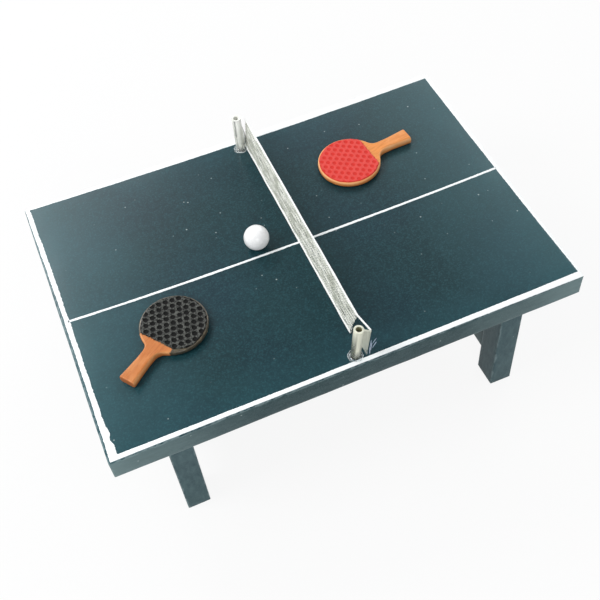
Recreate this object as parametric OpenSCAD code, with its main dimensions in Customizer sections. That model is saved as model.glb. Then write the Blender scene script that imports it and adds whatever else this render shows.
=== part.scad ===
// Doll's-house table tennis table: a painted wooden table with its lace net,
// two clear net posts, two bats and a ball.
// Millimetres. +X runs along the table, +Y to its far side and +Z up.
// The origin is on the floor under the middle of the table.

/* [Table top] */
// Length of the table top
top_l = 160; // [130:1:240]
// Width of the table top
top_w = 110; // [90:1:160]
// Thickness of the table top
top_t = 8.7; // [5:0.1:14]
// Height of the playing surface above the floor
table_h = 50.4; // [42:0.2:80]

/* [Legs and rails] */
// Width of a leg, along the table
leg_w = 8; // [6:0.2:12]
// Depth of a leg, across the table
leg_d = 9.3; // [5:0.1:14]
// From the side of the table top to the outer face of a leg
leg_side_inset = 2; // [0:0.1:8]
// From the left end of the table top to the left legs
left_leg_inset = 17.1; // [2:0.1:30]
// From the right end of the table top to the right legs
right_leg_inset = 19.6; // [2:0.1:30]
// Height of a cross rail
rail_h = 30; // [8:0.5:38]
// Thickness of a cross rail
rail_t = 5; // [2:0.1:6]
// How far a rail stands back from the inner faces of its legs
rail_setback = 0.4; // [0:0.1:1.5]

/* [Painted lines] */
// Thickness of the white paint
paint_t = 0.08; // [0.05:0.01:0.2]
// From the rim of the table top to the white line
line_inset = 0.3; // [0.1:0.1:2]
// Width of the front side line
front_line_w = 1.8; // [0.5:0.1:3]
// Width of the back side line
back_line_w = 1.3; // [0.5:0.1:3]
// Width of the left end line
left_line_w = 2.1; // [0.5:0.1:4]
// Width of the right end line
right_line_w = 1.1; // [0.5:0.1:4]
// Width of the centre line
centre_line_w = 0.75; // [0.3:0.05:2]
// How far the centre line lies from the middle, towards the far side
centre_line_offset = -1; // [-4:0.1:4]

/* [Net posts] */
// Outer diameter of a post's tube
post_d = 3.3; // [2.6:0.1:5]
// Diameter of the bore in a post's tube
post_bore_d = 2; // [1:0.1:2.2]
// Distance of the posts from the middle of the table, towards the right end
post_x = 0.8; // [-5:0.1:5]
// Height of the front post
front_post_h = 13.4; // [12:0.1:20]
// Height of the back post
back_post_h = 14.9; // [12:0.1:20]
// From the front side of the table top to the front post's axis
front_post_inset = 3.8; // [3:0.1:12]
// From the back side of the table top to the back post's axis
back_post_inset = 5.7; // [3:0.1:12]
// Lean of the front post and the net towards the right end, in degrees
net_lean = 6; // [0:0.5:7]
// Thickness of a post's fin
fin_t = 0.6; // [0.4:0.1:1]
// Angle of a fin away from the length of the table, in degrees
fin_angle = 30; // [25:1:50]
// Reach of the front fin at its top, from the post's axis
front_fin_top_reach = 3.7; // [3.5:0.1:6]
// Reach of the front fin's bottom tip, from the post's axis
front_fin_tip_reach = 3.4; // [3:0.1:6]
// Height of the front fin's bottom tip above the table top
front_fin_tip_h = 1.5; // [0.2:0.1:3]
// Height of the notch between the front fin and its tube
front_fin_notch_h = 5.2; // [3:0.1:9]
// Reach of the back fin at its foot, from the post's axis
back_fin_reach = 4.4; // [3:0.1:6]
// Height of the back fin
back_fin_h = 11.5; // [5:0.1:12]
// Radius of the ring of glue round a post's foot
glue_r = 2.7; // [2.65:0.05:3.2]
// Height of the ring of glue
glue_h = 0.7; // [0.3:0.05:1.5]

/* [Net] */
// Height of the net with both its edge cords
net_h = 13.4; // [10:0.1:16]
// Thickness of the mesh
mesh_t = 0.3; // [0.2:0.05:0.5]
// Height of an edge cord
cord_h = 0.9; // [0.5:0.05:1.5]
// Thickness of an edge cord
cord_t = 0.5; // [0.5:0.05:0.8]
// How far the net stops short of the front post's axis, at the top
net_short_top = 4.9; // [2:0.1:12]
// How far the net stops short of the front post's axis, at the bottom
net_short_bottom = 8; // [2:0.1:12]

/* [Bats] */
// Radius of a bat's blade
blade_r = 11.2; // [9:0.1:13]
// Thickness of a bat's blade
blade_t = 1.9; // [1:0.1:3]
// Thickness of the rubber on each side of a blade
rubber_t = 0.35; // [0.2:0.05:0.6]
// Rim of wood left bare round the rubber
rubber_margin = 0.7; // [0.3:0.1:2]
// From the middle of a blade to the straight edge of its rubber
rubber_edge = 7.8; // [5:0.1:8.5]
// Length of a handle, from the rim of the blade
handle_l = 13.3; // [9:0.1:18]
// Width of a handle where it is narrowest
handle_neck_w = 4.4; // [3:0.1:6]
// Width of a handle at its end
handle_end_w = 5.8; // [4:0.1:8]
// Thickness of a handle
handle_t = 3; // [2:0.1:4]
// Radius of the hollow where a blade runs into its handle
neck_fillet_r = 3.5; // [2:0.1:5]
// Place of the black bat's blade along the table
black_bat_x = -46.9; // [-60:0.1:-20]
// Place of the black bat's blade across the table
black_bat_y = -16.8; // [-30:0.1:30]
// Turn of the black bat, in degrees
black_bat_turn = 35.7; // [0:0.1:360]
// Place of the red bat's blade along the table
red_bat_x = 33.1; // [20:0.1:45]
// Place of the red bat's blade across the table
red_bat_y = 23.8; // [-30:0.1:30]
// Turn of the red bat, in degrees
red_bat_turn = 186; // [0:0.1:360]

/* [Ball] */
// Diameter of the ball
ball_d = 8.6; // [5:0.1:12]
// Place of the ball along the table
ball_x = -10.5; // [-17:0.1:-8]
// Place of the ball across the table
ball_y = 3.1; // [-10:0.1:30]

/* [Hidden] */
$fn = 64;

// Small clearances: round a seat, and under what stands on painted lines
seat_gap = 0.05;
paint_gap = 0.04;
// Overshoot of a cut past the face that it opens
eps = 0.01;
// Share of the glue ring's height that its flank is hollowed by
glue_hollow = 0.8;

// Table
half_l = top_l / 2;
half_w = top_w / 2;
under_top = table_h - top_t;
left_leg_x = -half_l + left_leg_inset;
right_leg_x = half_l - right_leg_inset - leg_w;
front_leg_y = -half_w + leg_side_inset;
back_leg_y = half_w - leg_side_inset - leg_d;

// Net posts
post_r = post_d / 2;
bore_r = post_bore_d / 2;
fin_root = (post_r + bore_r) / 2;
front_post_y = -half_w + front_post_inset;
back_post_y = half_w - back_post_inset;

// Net: it stands beside the posts and leans about its own foot
net_x = post_x + post_r + seat_gap + cord_t / 2;
net_foot = table_h + paint_t + paint_gap;
mesh_bottom = cord_h;
mesh_top = net_h - cord_h;

// Where the mesh is cut off, at its top and at its bottom
cut_top_y = front_post_y + net_short_top;
cut_bottom_y = front_post_y + net_short_bottom;

// Bats
handle_end = blade_r + handle_l;
fillet_y = handle_neck_w / 2 + neck_fillet_r;
fillet_x = -sqrt(pow(blade_r + neck_fillet_r, 2) - pow(fillet_y, 2));
fillet_touch = blade_r / (blade_r + neck_fillet_r);
handle_start = -fillet_x;

// Box from one corner to the opposite one
module box(low, high) {
    translate(low) cube(high - low);
}

module table_top() {
    color([0.19, 0.27, 0.3])
        box([-half_l, -half_w, under_top], [half_l, half_w, table_h]);
}

module leg(x, y) {
    color([0.22, 0.3, 0.32])
        box([x, y, 0], [x + leg_w, y + leg_d, under_top]);
}

module front_left_leg() { leg(left_leg_x, front_leg_y); }

module back_left_leg() { leg(left_leg_x, back_leg_y); }

module front_right_leg() { leg(right_leg_x, front_leg_y); }

module back_right_leg() { leg(right_leg_x, back_leg_y); }

// A rail fills the space between a front and a back leg, under the table top
module cross_rail(x) {
    color([0.2, 0.28, 0.3])
        box([x, front_leg_y + leg_d, under_top - rail_h], [x + rail_t, back_leg_y, under_top]);
}

module left_cross_rail() { cross_rail(left_leg_x + leg_w - rail_setback - rail_t); }

module right_cross_rail() { cross_rail(right_leg_x + rail_setback); }

// Painted frame, a little in from the rim
module border_line() {
    low = [-half_l + line_inset, -half_w + line_inset, table_h];
    high = [half_l - line_inset, half_w - line_inset, table_h + paint_t];
    color("white") difference() {
        box(low, high);
        box(low + [left_line_w, front_line_w, -eps], high - [right_line_w, back_line_w, -eps]);
    }
}

module centre_line() {
    color("white")
        box([-half_l + line_inset + left_line_w, centre_line_offset - centre_line_w / 2, table_h],
            [half_l - line_inset - right_line_w, centre_line_offset + centre_line_w / 2,
             table_h + paint_t]);
}

// Clear tube with a flat fin, standing on the table top; outline is the fin in its own plane
module post(y, height, lean, turn, outline) {
    below = post_d;
    color([0.85, 0.88, 0.75, 0.6]) translate([post_x, y, table_h]) difference() {
        rotate([0, lean, 0]) difference() {
            union() {
                translate([0, 0, -below]) cylinder(h = height + below, r = post_r);
                rotate([0, 0, turn]) rotate([90, 0, 0])
                    linear_extrude(height = fin_t, center = true) polygon(outline);
            }
            translate([0, 0, -2 * below]) cylinder(h = height + 3 * below, r = bore_r);
        }
        box([-height, -height, -2 * below], [height, height, 0]);
    }
}

module front_net_post() {
    post(front_post_y, front_post_h, net_lean, -fin_angle,
         [[fin_root, front_fin_notch_h], [post_r, front_fin_notch_h],
          [front_fin_tip_reach, front_fin_tip_h], [front_fin_top_reach, front_post_h],
          [fin_root, front_post_h]]);
}

module back_net_post() {
    post(back_post_y, back_post_h, 0, fin_angle,
         [[fin_root, 0], [back_fin_reach, 0], [post_r, back_fin_h], [fin_root, back_fin_h]]);
}

// Ring of dried glue with a hollow flank, cut off at the side line
module post_glue(y) {
    inner = post_r + seat_gap + glue_h * tan(net_lean);
    flank = glue_r - inner;
    color([0.8, 0.85, 0.85, 0.6]) difference() {
        translate([post_x, y, table_h]) rotate_extrude() difference() {
            translate([inner, 0]) square([flank, glue_h]);
            translate([glue_r, glue_h]) scale([flank / glue_h, 1]) circle(r = glue_h * glue_hollow);
        }
        box([-half_l, -half_w, table_h - eps],
            [half_l, -half_w + line_inset + front_line_w, table_h + paint_t + eps]);
    }
}

module front_post_glue() { post_glue(front_post_y); }

// The back fin reaches down through the ring, and the bottom cord passes beside it
module back_post_glue() {
    difference() {
        post_glue(back_post_y);
        box([net_x - cord_t / 2 - seat_gap, back_post_y - glue_r, table_h - eps],
            [net_x + glue_r, half_w, table_h + 2 * glue_h]);
        translate([post_x, back_post_y, table_h]) rotate([0, 0, fin_angle])
            box([0, -fin_t / 2 - seat_gap, -eps], [2 * glue_r, fin_t / 2 + seat_gap, 2 * glue_h]);
    }
}

// Point beside the front fin's face at a reach, seen from above in the net's leaning frame
function fin_face(reach) =
    [post_x - net_x + reach * cos(fin_angle) + (fin_t / 2 + seat_gap) * sin(fin_angle),
     front_post_y - reach * sin(fin_angle) + (fin_t / 2 + seat_gap) * cos(fin_angle)];

// The net's own frame: x off its plane, y across the table, z up from its foot
module leaning() {
    translate([net_x, 0, net_foot]) rotate([0, net_lean, 0]) children();
}

// Mesh between the edge cords, cut off slantwise short of the front post
module net_mesh() {
    color([0.86, 0.88, 0.86]) leaning() rotate([90, 0, 90])
        linear_extrude(height = mesh_t, center = true)
            polygon([[cut_bottom_y, mesh_bottom], [back_post_y, mesh_bottom],
                     [back_post_y, mesh_top], [cut_top_y, mesh_top]]);
}

// The top cord runs on past the mesh and ends on the front fin, at its top corner
module net_top_cord() {
    color("white") leaning() {
        box([-cord_t / 2, cut_top_y, mesh_top], [cord_t / 2, back_post_y, net_h]);
        translate([0, 0, mesh_top]) linear_extrude(height = cord_h)
            polygon([[-cord_t / 2, cut_top_y], [cord_t / 2, cut_top_y],
                     fin_face(front_fin_top_reach), fin_face(front_fin_top_reach - cord_t)]);
    }
}

module net_bottom_cord() {
    color("white") leaning()
        box([-cord_t / 2, cut_bottom_y, 0], [cord_t / 2, back_post_y, cord_h]);
}

// A bat lies flat with its handle towards its own -X
module placed_bat(x, y, turn, z) {
    translate([x, y, table_h + z]) rotate([0, 0, turn]) children();
}

// Hollow corners between the blade and the handle
module neck() {
    difference() {
        polygon([[0, 0], [fillet_x * fillet_touch, fillet_y * fillet_touch],
                 [fillet_x, handle_neck_w / 2], [fillet_x, -handle_neck_w / 2],
                 [fillet_x * fillet_touch, -fillet_y * fillet_touch]]);
        for (side = [-1, 1])
            translate([fillet_x, side * fillet_y]) circle(r = neck_fillet_r);
    }
}

module handle_outline() {
    polygon([[-handle_start, -handle_neck_w / 2], [-handle_start, handle_neck_w / 2],
             [-handle_end, handle_end_w / 2], [-handle_end, -handle_end_w / 2]]);
}

module bat_wood(x, y, turn) {
    color([0.88, 0.53, 0.27]) placed_bat(x, y, turn, 0) {
        translate([0, 0, rubber_t]) linear_extrude(height = blade_t) union() {
            circle(r = blade_r);
            neck();
        }
        linear_extrude(height = handle_t) handle_outline();
    }
}

// Rubber on one face, with a straight edge at the neck
module rubber(x, y, turn, z) {
    face_r = blade_r - rubber_margin;
    placed_bat(x, y, turn, z) linear_extrude(height = rubber_t) intersection() {
        circle(r = face_r);
        translate([-rubber_edge, -face_r]) square([rubber_edge + face_r, 2 * face_r]);
    }
}

module black_bat_wood() { bat_wood(black_bat_x, black_bat_y, black_bat_turn); }

module black_bat_upper_rubber() {
    color([0.12, 0.1, 0.1])
        rubber(black_bat_x, black_bat_y, black_bat_turn, rubber_t + blade_t);
}

module black_bat_lower_rubber() {
    color([0.12, 0.1, 0.1]) rubber(black_bat_x, black_bat_y, black_bat_turn, 0);
}

module red_bat_wood() { bat_wood(red_bat_x, red_bat_y, red_bat_turn); }

module red_bat_upper_rubber() {
    color([0.85, 0.2, 0.18]) rubber(red_bat_x, red_bat_y, red_bat_turn, rubber_t + blade_t);
}

module red_bat_lower_rubber() {
    color([0.85, 0.2, 0.18]) rubber(red_bat_x, red_bat_y, red_bat_turn, 0);
}

module ball() {
    color([0.95, 0.95, 0.96])
        translate([ball_x, ball_y, table_h + seat_gap + ball_d / 2]) sphere(d = ball_d);
}

table_top();
front_left_leg();
back_left_leg();
front_right_leg();
back_right_leg();
left_cross_rail();
right_cross_rail();
border_line();
centre_line();
front_net_post();
back_net_post();
front_post_glue();
back_post_glue();
net_mesh();
net_top_cord();
net_bottom_cord();
black_bat_wood();
black_bat_upper_rubber();
black_bat_lower_rubber();
red_bat_wood();
red_bat_upper_rubber();
red_bat_lower_rubber();
ball();
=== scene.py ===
"""Finishes a doll's-house table tennis table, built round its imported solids.

The table is a hand-painted wooden board on block legs. A strip of lace net hangs between
two clear posts, and two moulded bats and a ball lie on top. Lengths are in metres.
"""

import logging
import math
from abc import ABC, abstractmethod
from collections.abc import Callable, Sequence
from dataclasses import dataclass
from enum import Enum
from functools import cached_property
from typing import Any

import bmesh
import bpy
from mathutils import Matrix, Quaternion, Vector, noise


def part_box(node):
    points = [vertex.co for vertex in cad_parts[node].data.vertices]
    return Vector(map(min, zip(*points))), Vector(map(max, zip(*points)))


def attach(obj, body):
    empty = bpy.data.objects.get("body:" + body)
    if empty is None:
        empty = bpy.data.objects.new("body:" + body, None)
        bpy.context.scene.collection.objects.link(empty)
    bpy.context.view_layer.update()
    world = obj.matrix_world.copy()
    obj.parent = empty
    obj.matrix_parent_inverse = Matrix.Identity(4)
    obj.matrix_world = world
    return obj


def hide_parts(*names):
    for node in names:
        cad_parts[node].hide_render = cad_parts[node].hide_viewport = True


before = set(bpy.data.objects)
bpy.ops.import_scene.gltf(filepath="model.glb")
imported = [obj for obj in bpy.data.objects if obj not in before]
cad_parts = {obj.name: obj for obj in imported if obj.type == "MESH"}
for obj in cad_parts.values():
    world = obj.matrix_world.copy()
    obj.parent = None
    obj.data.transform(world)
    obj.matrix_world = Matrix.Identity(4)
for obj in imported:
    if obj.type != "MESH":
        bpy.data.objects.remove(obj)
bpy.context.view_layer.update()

log = logging.getLogger("table_tennis_table")

MM = 0.001
# Points closer than this become one, points this near a cutting plane lie on it,
# and a sine this small counts as 0
WELD = 0.002 * MM
ON_PLANE = 1e-7
ON_AXIS = 1e-6
WHITE = (1, 1, 1, 1)
Colour = tuple[float, float, float, float]
Mesh = bmesh.types.BMesh
Piece = bpy.types.Object
Material = bpy.types.Material
Node = bpy.types.Node
Socket = bpy.types.NodeSocket


class Body(Enum):
    """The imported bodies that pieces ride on."""

    TABLE = "table"
    BLACK_BAT = "black_bat"
    RED_BAT = "red_bat"
    BALL = "ball"


class Slot(Enum):
    """The record's finishes."""

    TABLE_PAINT = "table_paint"
    LINE_PAINT = "line_paint"
    CLEAR_PLASTIC = "clear_plastic"
    DRIED_GLUE = "dried_glue"
    LACE_MESH = "lace_mesh"
    LACE_CORD = "lace_cord"
    BAT_WOOD = "bat_wood"
    BLACK_RUBBER = "black_rubber"
    RED_RUBBER = "red_rubber"
    BALL_PLASTIC = "ball_plastic"


class Face(Enum):
    """The two faces of a bat's blade, with the way each looks."""

    UPPER = 1
    LOWER = -1


# Small sums that several pieces share


def clamp(value: float, low: float = 0.0, high: float = 1.0) -> float:
    """Returns the value held between two limits."""
    return max(low, min(high, value))


def smooth_step(value: float, low: float, high: float) -> float:
    """Returns 0 below low and 1 above high, with an eased rise between them."""
    share = clamp((value - low) / (high - low))
    return share * share * (3 - 2 * share)


def mix(low: float, high: float, share: float) -> float:
    """Returns the value that lies that share of the way from low to high."""
    return low + (high - low) * share


def rounding(share: float) -> float:
    """Returns how far a quarter of a circle has dropped, at that share of its width."""
    return 1 - math.sqrt(1 - share * share)


def wander(place: float, length: float, seed: float = 0.0) -> float:
    """Returns a smooth, repeatable wobble between about -1 and 1.

    Args:
        place: Distance along the piece.
        length: Distance over which the wobble changes.
        seed: Number that sets one wobble apart from another.
    """
    return 1.6 * noise.noise(Vector((place / length, 7.3 * seed, 3.1 + seed)))


# Shader nodes


class Graph:
    """The shader nodes of a material or of the world, wired with short calls."""

    def __init__(self, owner: Material | bpy.types.World) -> None:
        """Clears the owner's nodes and adds its output.

        Args:
            owner: The material or world that the nodes belong to.
        """
        owner.use_nodes = True
        self.owner = owner
        self.tree = owner.node_tree
        self.tree.nodes.clear()
        self.output = self.add("OutputWorld" if isinstance(owner, bpy.types.World) else "OutputMaterial")

    @cached_property
    def place(self) -> Socket:
        """The place on the piece, in metres."""
        return self.add("TexCoord").outputs["Object"]

    def add(self, kind: str, inputs: dict[str | int, Any] | None = None, **settings: Any) -> Node:
        """Adds one node.

        Args:
            kind: Node type without its ShaderNode prefix.
            inputs: Socket name or number to a value, or to another node's output.
            **settings: The node's own properties.

        Returns:
            The new node.
        """
        node = self.tree.nodes.new("ShaderNode" + kind)
        for key, value in settings.items():
            setattr(node, key, value)
        for key, value in (inputs or {}).items():
            self._fill(node.inputs[key], value)
        return node

    def _fill(self, socket: Socket, value: Any) -> None:
        """Fills one socket.

        Args:
            socket: The socket to fill.
            value: A value, or another node's output to link to it.
        """
        if isinstance(value, Socket):
            self.tree.links.new(value, socket)
        else:
            socket.default_value = value

    def noise(self, size: float, detail: float = 3.0, place: Socket | None = None,
              distortion: float = 0.0) -> Socket:
        """Returns a cloudy pattern whose features are about that size in metres."""
        return self.add("TexNoise", {"Vector": place or self.place, "Scale": 1 / size, "Detail": detail,
                                     "Distortion": distortion}).outputs["Fac"]

    def ramp(self, value: Socket, low: float, high: float, to_low: float = 0.0,
             to_high: float = 1.0) -> Socket:
        """Returns a value moved from one range to another, and held inside it."""
        return self.add("MapRange", {"Value": value, "From Min": low, "From Max": high, "To Min": to_low,
                                     "To Max": to_high}).outputs["Result"]

    def math(self, operation: str, first: Any, second: Any = 0.5, third: Any = 0.0) -> Socket:
        """Returns the result of one Math node."""
        return self.add("Math", {0: first, 1: second, 2: third}, operation=operation).outputs[0]

    def times(self, first: Any, second: Any) -> Socket:
        """Returns the product of two values."""
        return self.math("MULTIPLY", first, second)

    def blend(self, share: Any, first: Any, second: Any) -> Socket:
        """Mixes two colours.

        Args:
            share: Share of the second colour.
            first: One colour.
            second: The other colour.

        Returns:
            The mixed colour.
        """
        node = self.add("Mix", data_type="RGBA")
        sockets = {socket.identifier: socket for socket in (*node.inputs, *node.outputs)}
        for key, value in (("Factor_Float", share), ("A_Color", first), ("B_Color", second)):
            self._fill(sockets[key], value)
        return sockets["Result_Color"]

    def stretch(self, scale: Sequence[float], turn: float = 0.0) -> Socket:
        """Returns the place, turned about Z and then scaled along its axes."""
        turned = self.add("Mapping", {"Vector": self.place, "Rotation": (0, 0, -turn)})
        return self.add("Mapping", {"Vector": turned.outputs[0], "Scale": scale}).outputs[0]

    def attribute(self, name: str) -> Socket:
        """Returns a number that the mesh carries."""
        return self.add("Attribute", attribute_name=name).outputs["Fac"]

    def bump(self, height: Socket, depth: float, under: Socket | None = None) -> Socket:
        """Gives the surface a relief.

        Args:
            height: The relief's pattern.
            depth: Its depth in metres.
            under: The normal of a relief that lies under it, if there is one.

        Returns:
            The normal.
        """
        inputs = {"Height": height, "Distance": depth, "Strength": 1.0}
        if under is not None:
            inputs["Normal"] = under
        return self.add("Bump", inputs).outputs["Normal"]

    def seen(self, *rays: str) -> Socket:
        """Tells the light paths that show the background from the ones that light the object.

        Args:
            *rays: The outputs of Light Path that show it.

        Returns:
            1 on those light paths, and otherwise 0.
        """
        path = self.add("LightPath")
        found = path.outputs[rays[0]]
        for ray in rays[1:]:
            found = self.math("MAXIMUM", found, path.outputs[ray])
        return found

    def show(self, shader: Node) -> None:
        """Shows a shader as the surface."""
        self.tree.links.new(shader.outputs[0], self.output.inputs["Surface"])

    def finish(self, **inputs: Any) -> Material:
        """Adds the surface shader of a material.

        Args:
            **inputs: Values or sockets, with underscores for the spaces in a socket's name.

        Returns:
            The finished material.
        """
        self.show(self.add("BsdfPrincipled", {key.replace("_", " "): value for key, value in inputs.items()}))
        return self.owner


# Finishes


class Finish(ABC):
    """A finish that makes its own node material."""

    name: str

    def material(self) -> Material:
        """Makes the finish's material."""
        return self.dress(Graph(bpy.data.materials.new(self.name)))

    @abstractmethod
    def dress(self, g: Graph) -> Material:
        """Builds the nodes and returns the finished material."""


@dataclass(frozen=True)
class SlatePaint(Finish):
    """Satin slate-green paint on sanded wood, with brush marks, dust specks and rubbed edges, and painted
    light that makes it paler towards the piece's ends.
    """

    name: str
    colour: Colour
    tint: Colour
    thin: Colour
    paler: Colour = (0.26, 0.34, 0.35, 1)
    speck: Colour = (0.42, 0.50, 0.50, 1)
    roughness: float = 0.30
    gloss: float = 0.5
    mottle: float = 0.5
    relief: float = 0.03 * MM
    # Painted light: the paint turns paler towards the piece's far ends and stays darker in the middle, as the
    # light falls; strength, starting share and reach along X and Y
    paler_ends_painted_light: float = 0.0
    painted_light_from: float = 0.38
    painted_light_reach: tuple[float, float] = (80 * MM, 55 * MM)
    dusty: float = 0.2
    stroke: tuple[float, float, float] = (1.0, 1.0, 1.0)
    speck_spacing: float = 4.2 * MM
    speck_share: float = 0.45
    tint_size: float = 38 * MM
    cloud_size: float = 26 * MM
    stroke_size: float = 1.5 * MM
    dust_size: float = 0.55 * MM
    grain_size: float = 0.28 * MM
    grain_depth: float = 0.008 * MM
    speck_depth: float = 0.01 * MM

    def dress(self, g: Graph) -> Material:
        """Builds the paint.

        Args:
            g: The material's nodes.

        Returns:
            The material.
        """
        clouds = g.noise(self.cloud_size, 2)
        strokes = g.noise(self.stroke_size, 4, g.stretch(self.stroke), 0.4)
        grain = g.noise(self.grain_size, 3)
        dust = g.noise(self.dust_size, 2)
        speck = self._specks(g)
        rubbing = g.ramp(g.math("MULTIPLY_ADD", strokes, 1.1, g.attribute("wear")), 1.42, 1.66)
        colour = g.blend(g.ramp(g.noise(self.tint_size, 1), 0.35, 0.65), self.colour, self.tint)
        colour = g.blend(self._thinness_and_painted_light(g, clouds, strokes), colour, self.thin)
        colour = g.blend(g.ramp(grain, 0.35, 0.8, 0.0, 0.16), colour, self.thin)
        colour = g.blend(g.ramp(dust, 0.5, 0.72, 0.0, self.dusty), colour, self.thin)
        colour = g.blend(speck, colour, self.speck)
        colour = g.blend(g.times(rubbing, 0.5), colour, self.paler)
        normal = g.bump(grain, self.grain_depth)
        normal = g.bump(strokes, self.relief, normal)
        normal = g.bump(speck, self.speck_depth, normal)
        roughness = g.ramp(strokes, 0.25, 0.8, self.roughness, self.roughness + 0.02)
        return g.finish(Base_Color=colour, Roughness=roughness, Normal=normal, Specular_IOR_Level=self.gloss)

    def _thinness_and_painted_light(self, g: Graph, clouds: Socket, strokes: Socket) -> Socket:
        """Works out how thin the paint is, and adds painted light that makes it paler towards the far ends of
        the piece.

        Args:
            g: The material's nodes.
            clouds: The broad pattern.
            strokes: The brush marks.

        Returns:
            The thinness with the painted light, from 0 to 1.
        """
        thinness = g.times(g.ramp(strokes, 0.22, 0.82), self.mottle)
        thinness = g.math("MULTIPLY_ADD", g.ramp(clouds, 0.35, 0.7), 0.35 * self.mottle, thinness)
        # Painted light: paler towards the far ends of the piece, darker in the middle
        if self.paler_ends_painted_light:
            spot = g.add("SeparateXYZ", {"Vector": g.place})
            out = [g.times(g.math("ABSOLUTE", spot.outputs[axis]), 1 / reach)
                   for axis, reach in enumerate(self.painted_light_reach)]
            painted_light = g.ramp(g.math("MAXIMUM", *out), self.painted_light_from, 1.0)
            painted_light = g.times(painted_light, g.ramp(clouds, 0.3, 0.7, 0.7, 1.0))
            thinness = g.math("MULTIPLY_ADD", painted_light, self.paler_ends_painted_light, thinness)
        return g.ramp(thinness, 0, 1)

    def _specks(self, g: Graph) -> Socket:
        """Scatters specks of dust, one at most in each cell of a loose grid.

        Args:
            g: The material's nodes.

        Returns:
            1 in the brightest specks, and 0 between the specks.
        """
        cells = g.add("TexVoronoi", {"Vector": g.place, "Scale": 1 / self.speck_spacing, "Randomness": 1.0})
        chosen = g.add("SeparateColor", {"Color": cells.outputs["Color"]})
        shown = g.ramp(chosen.outputs[0], 1 - self.speck_share, 1 - self.speck_share + 0.02)
        speck = g.times(g.ramp(cells.outputs["Distance"], 0.035, 0.085, 1, 0), shown)
        return g.times(speck, g.ramp(chosen.outputs[1], 0, 1, 0.15, 0.8))


@dataclass(frozen=True)
class LinePaint(Finish):
    """Thick matt white paint, laid on by hand."""

    name: str = "line_paint_white"
    colour: Colour = (0.90, 0.92, 0.92, 1)
    shade: Colour = (0.68, 0.75, 0.77, 1)
    lump_size: float = 1.2 * MM
    lump_depth: float = 0.06 * MM
    grain_size: float = 0.22 * MM
    grain_depth: float = 0.015 * MM

    def dress(self, g: Graph) -> Material:
        """Builds the paint.

        Args:
            g: The material's nodes.

        Returns:
            The material.
        """
        lumps = g.noise(self.lump_size, 4, distortion=0.3)
        grain = g.noise(self.grain_size, 2)
        thin = g.times(g.attribute("rim"), g.ramp(lumps, 0.35, 0.65))
        colour = g.blend(g.ramp(lumps, 0.3, 0.75, 0.0, 0.3), self.colour, self.shade)
        colour = g.blend(thin, colour, self.shade)
        normal = g.bump(lumps, self.lump_depth, g.bump(grain, self.grain_depth))
        return g.finish(Base_Color=colour, Roughness=g.ramp(grain, 0.2, 0.8, 0.5, 0.66), Normal=normal,
                        Specular_IOR_Level=0.35)


@dataclass(frozen=True)
class ClearPlastic(Finish):
    """Clear plastic or dried glue with fine scratches, milky in streaks, and milky where the mesh says so,
    which on the posts and glue rings paints highlights.
    """

    name: str
    colour: Colour = (0.95, 0.96, 0.82, 1)
    clear_colour: Colour = (0.80, 0.82, 0.70, 1)
    roughness: float = 0.08
    milkiest: float = 0.75
    clearest: float = 0.12
    ior: float = 1.45
    cloudiness: float = 0.3
    streak: float = 1.5 * MM
    shape: tuple[float, float, float] = (1.0, 1.0, 0.1)
    scratch_size: float = 0.3 * MM
    scratch_shape: tuple[float, float, float] = (1.0, 1.0, 0.12)
    scratch_depth: float = 0.004 * MM
    lump_size: float = 1.6 * MM
    lump_depth: float = 0.012 * MM

    def dress(self, g: Graph) -> Material:
        """Builds the plastic.

        Args:
            g: The material's nodes.

        Returns:
            The material.
        """
        streaks = g.ramp(g.noise(self.streak, 1, g.stretch(self.shape)), 0.42, 0.58)
        scratches = g.noise(self.scratch_size, 2, g.stretch(self.scratch_shape))
        # The mesh's number carries painted highlights on the posts and glue rings as well as real milkiness
        milk_and_highlight = g.ramp(g.math("MULTIPLY_ADD", streaks, self.cloudiness, g.attribute("milk_and_highlight")), 0, 1)
        colour = g.blend(milk_and_highlight, self.clear_colour, self.colour)
        roughness = g.ramp(scratches, 0.35, 0.75, self.roughness, self.roughness + 0.14)
        lumps = g.bump(g.noise(self.lump_size, 2), self.lump_depth)
        through = g.ramp(milk_and_highlight, 0, 1, 1 - self.clearest, 1 - self.milkiest)
        return g.finish(Base_Color=colour, Roughness=roughness, IOR=self.ior, Transmission_Weight=through,
                        Normal=g.bump(scratches, self.scratch_depth, lumps))


@dataclass(frozen=True)
class NetThread(Finish):
    """White nylon thread with a soft sheen, and streaks of painted shade where the threads lie deeper."""

    name: str
    colour: Colour
    shade: Colour
    streak: float = 0.4
    streak_size: float = 1.3 * MM
    fibre_size: float = 0.35 * MM
    fibre_depth: float = 0.04 * MM
    glow_depth: float = 0.2 * MM

    def dress(self, g: Graph) -> Material:
        """Builds the thread.

        Args:
            g: The material's nodes.

        Returns:
            The material.
        """
        fibres = g.noise(self.fibre_size, 2, g.stretch((1.0, 0.5, 1.0)))
        streaks = g.ramp(g.noise(self.streak_size, 2, g.stretch((1.0, 0.22, 1.0))), 0.42, 0.6)
        # Painted shade: darker streaks along the thread
        shade = g.math("MULTIPLY_ADD", streaks, self.streak, g.ramp(fibres, 0.35, 0.7, 0.0, 0.3))
        colour = g.blend(g.ramp(shade, 0, 1), self.colour, self.shade)
        return g.finish(Base_Color=colour, Roughness=g.ramp(fibres, 0.2, 0.8, 0.5, 0.72),
                        Normal=g.bump(fibres, self.fibre_depth), Sheen_Weight=0.25, Sheen_Roughness=0.5,
                        Subsurface_Weight=0.25, Subsurface_Radius=(1.0, 1.0, 1.0),
                        Subsurface_Scale=self.glow_depth)


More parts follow.
